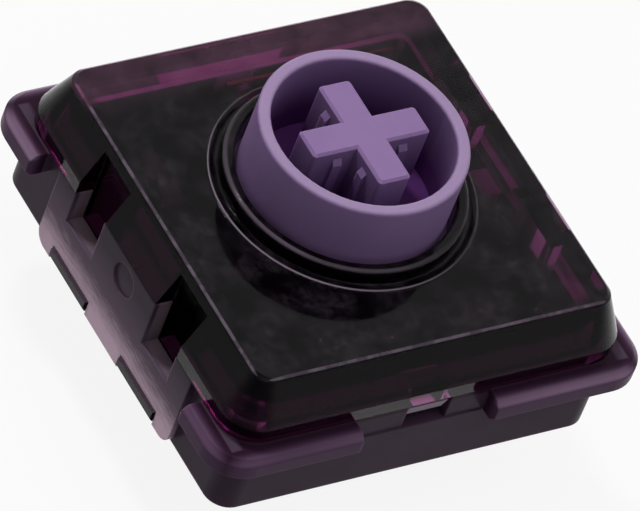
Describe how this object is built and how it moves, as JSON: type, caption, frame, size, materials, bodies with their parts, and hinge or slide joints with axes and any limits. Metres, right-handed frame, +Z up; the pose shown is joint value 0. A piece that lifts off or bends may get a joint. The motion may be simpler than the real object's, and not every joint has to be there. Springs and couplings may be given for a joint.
{
  "type": "mechanical keyboard switch",
  "caption": "Low-profile mechanical key switch: clear smoked cover, two-tone housing with corner flanges, and a spring-returned stem with a cross post inside a round dust ring.",
  "frame": {"origin": "on the stem's axis, in the plane of the circuit board's face that the housing sits on", "axes": "+Z up along the stem's axis, -Y towards the front side with the visible cover tab, +Y towards the terminals, +X to the right"},
  "size_m": [0.0152, 0.0152, 0.0104],
  "materials": {
    "housing_plastic": "satin translucent lilac moulding",
    "smoked_plastic": "polished smoky purple, see-through",
    "stem_plastic": "fine satin lilac moulding",
    "spring_steel": "drawn wire",
    "copper_alloy": "rolled copper alloy sheet",
    "contact_silver": "silver contact points"
  },
  "bodies": {
    "housing": {"bottom_housing": "housing_plastic", "top_cover": "smoked_plastic", "return_spring": "spring_steel", "moving_contact": "copper_alloy", "fixed_contact": "copper_alloy", "moving_contact_point": "contact_silver", "fixed_contact_point": "contact_silver"},
    "stem": {"stem": "stem_plastic"}
  },
  "joints": [
    {"name": "stem_press", "type": "slide", "parent": "housing", "child": "stem", "axis": [0, 0, -1], "range_m": [0, 0.003], "stiffness_N_per_m": 85, "springref_m": -0.004, "deforming": ["return_spring"]}
  ]
}
